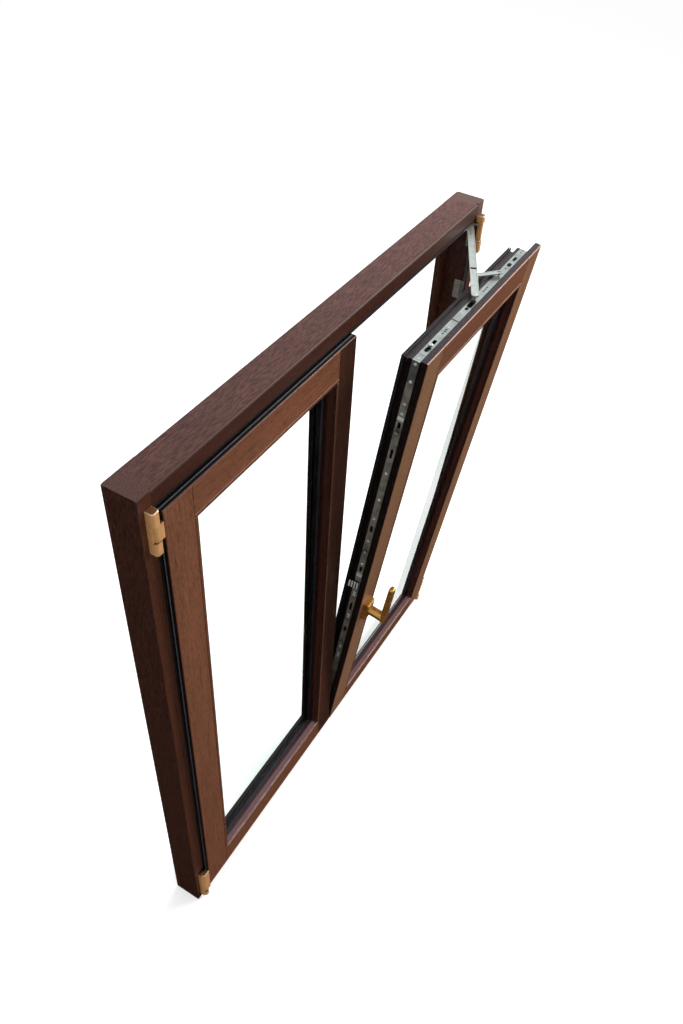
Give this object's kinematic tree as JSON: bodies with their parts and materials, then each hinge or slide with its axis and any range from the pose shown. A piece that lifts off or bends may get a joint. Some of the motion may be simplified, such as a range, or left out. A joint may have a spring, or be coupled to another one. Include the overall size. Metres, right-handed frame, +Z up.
{
  "type": "tilt and turn window",
  "caption": "Two-leaf stained timber window with insulating glass; the right leaf stands tilted on its scissor stay and also turns on side hinges, with a lever handle.",
  "frame": {"origin": "middle of the frame's bottom face, where it sits on the wall opening's sill", "axes": "+Z up, +X to the right seen from the room, +Y to the outside"},
  "size_m": [1.2, 0.2321, 1.4],
  "materials": {
    "stained_timber": "dark walnut stain, satin",
    "glass": "clear float",
    "rubber": "black gasket",
    "spacer": "plain bright spacer bar",
    "bronze": "bronze anodised covers and handle",
    "zinc": "bright zinc plated"
  },
  "bodies": {
    "window_frame": {"frame_left_jamb": "stained_timber", "frame_right_jamb": "stained_timber", "frame_head": "stained_timber", "frame_sill": "stained_timber", "left_hinge_stile": "stained_timber", "left_meeting_stile": "stained_timber", "left_top_rail": "stained_timber", "left_bottom_rail": "stained_timber", "left_beads": "stained_timber", "meeting_astragal": "stained_timber", "frame_gasket": "rubber", "meeting_gasket": "rubber", "left_leaf_seal": "rubber", "left_glass": "glass", "left_spacer": "spacer", "left_upper_hinge_bearing": "bronze", "left_upper_hinge_knuckle": "bronze", "left_lower_hinge_bearing": "bronze", "left_lower_hinge_knuckle": "bronze", "right_upper_hinge_bearing": "bronze", "right_lower_hinge_bearing": "bronze", "left_hinge_pins": "zinc", "jamb_keep": "zinc", "head_keep": "zinc", "meeting_keeps": "zinc"},
    "hinge_pins": {"right_hinge_pins": "zinc"},
    "right_leaf": {"right_hinge_stile": "stained_timber", "right_lock_stile": "stained_timber", "right_top_rail": "stained_timber", "right_bottom_rail": "stained_timber", "right_beads": "stained_timber", "right_leaf_seal": "rubber", "right_glass": "glass", "right_spacer": "spacer", "right_lower_hinge_knuckle": "bronze", "handle_rose": "bronze", "top_plate": "zinc", "corner_drive": "zinc", "stile_plate": "zinc", "tilt_latch": "zinc"},
    "stay_arm": {"stay_arm": "zinc"},
    "stay_link": {"stay_link": "zinc"},
    "handle": {"handle_lever": "bronze"},
    "stile_rod": {"stile_rod": "zinc"},
    "top_rod": {"top_rod": "zinc"}
  },
  "joints": [
    {"name": "leaf_turn", "type": "hinge", "parent": "window_frame", "child": "hinge_pins", "pos_m": [0.579, -0.0425, 0.042], "axis": [0, 0, 1], "range_deg": [0, 90]},
    {"name": "leaf_tilt", "type": "hinge", "parent": "hinge_pins", "child": "right_leaf", "pos_m": [0.579, -0.0425, 0.042], "axis": [-1, 0, 0], "range_deg": [0, 6.5]},
    {"name": "stay_swing", "type": "hinge", "parent": "hinge_pins", "child": "stay_arm", "pos_m": [0.579, -0.0425, 1.3518], "axis": [0, 0, 1], "range_deg": [-27.22, 0.3]},
    {"name": "link_swing", "type": "hinge", "parent": "stay_arm", "child": "stay_link", "pos_m": [0.36194, -0.12525, 1.3446], "axis": [0, 0, 1], "range_deg": [-0.3, 68.37]},
    {"name": "handle_turn", "type": "hinge", "parent": "right_leaf", "child": "handle", "pos_m": [0.0415, -0.12307, 0.5592], "axis": [0, 0.9936, 0.1132], "range_deg": [0, 180]},
    {"name": "stile_rod_slide", "type": "slide", "parent": "right_leaf", "child": "stile_rod", "axis": [0, -0.1132, 0.9936], "range_m": [-0.0003, 0.0243]},
    {"name": "top_rod_slide", "type": "slide", "parent": "right_leaf", "child": "top_rod", "axis": [1, 0, 0], "range_m": [-0.0003, 0.0243]}
  ],
  "couplings": [
    {"joint": "stay_swing", "follows": "leaf_tilt", "ratio": -4.142},
    {"joint": "link_swing", "follows": "leaf_tilt", "ratio": 10.472},
    {"joint": "stile_rod_slide", "follows": "handle_turn", "m_per_rad": 0.0076394},
    {"joint": "top_rod_slide", "follows": "handle_turn", "m_per_rad": 0.0076394}
  ]
}
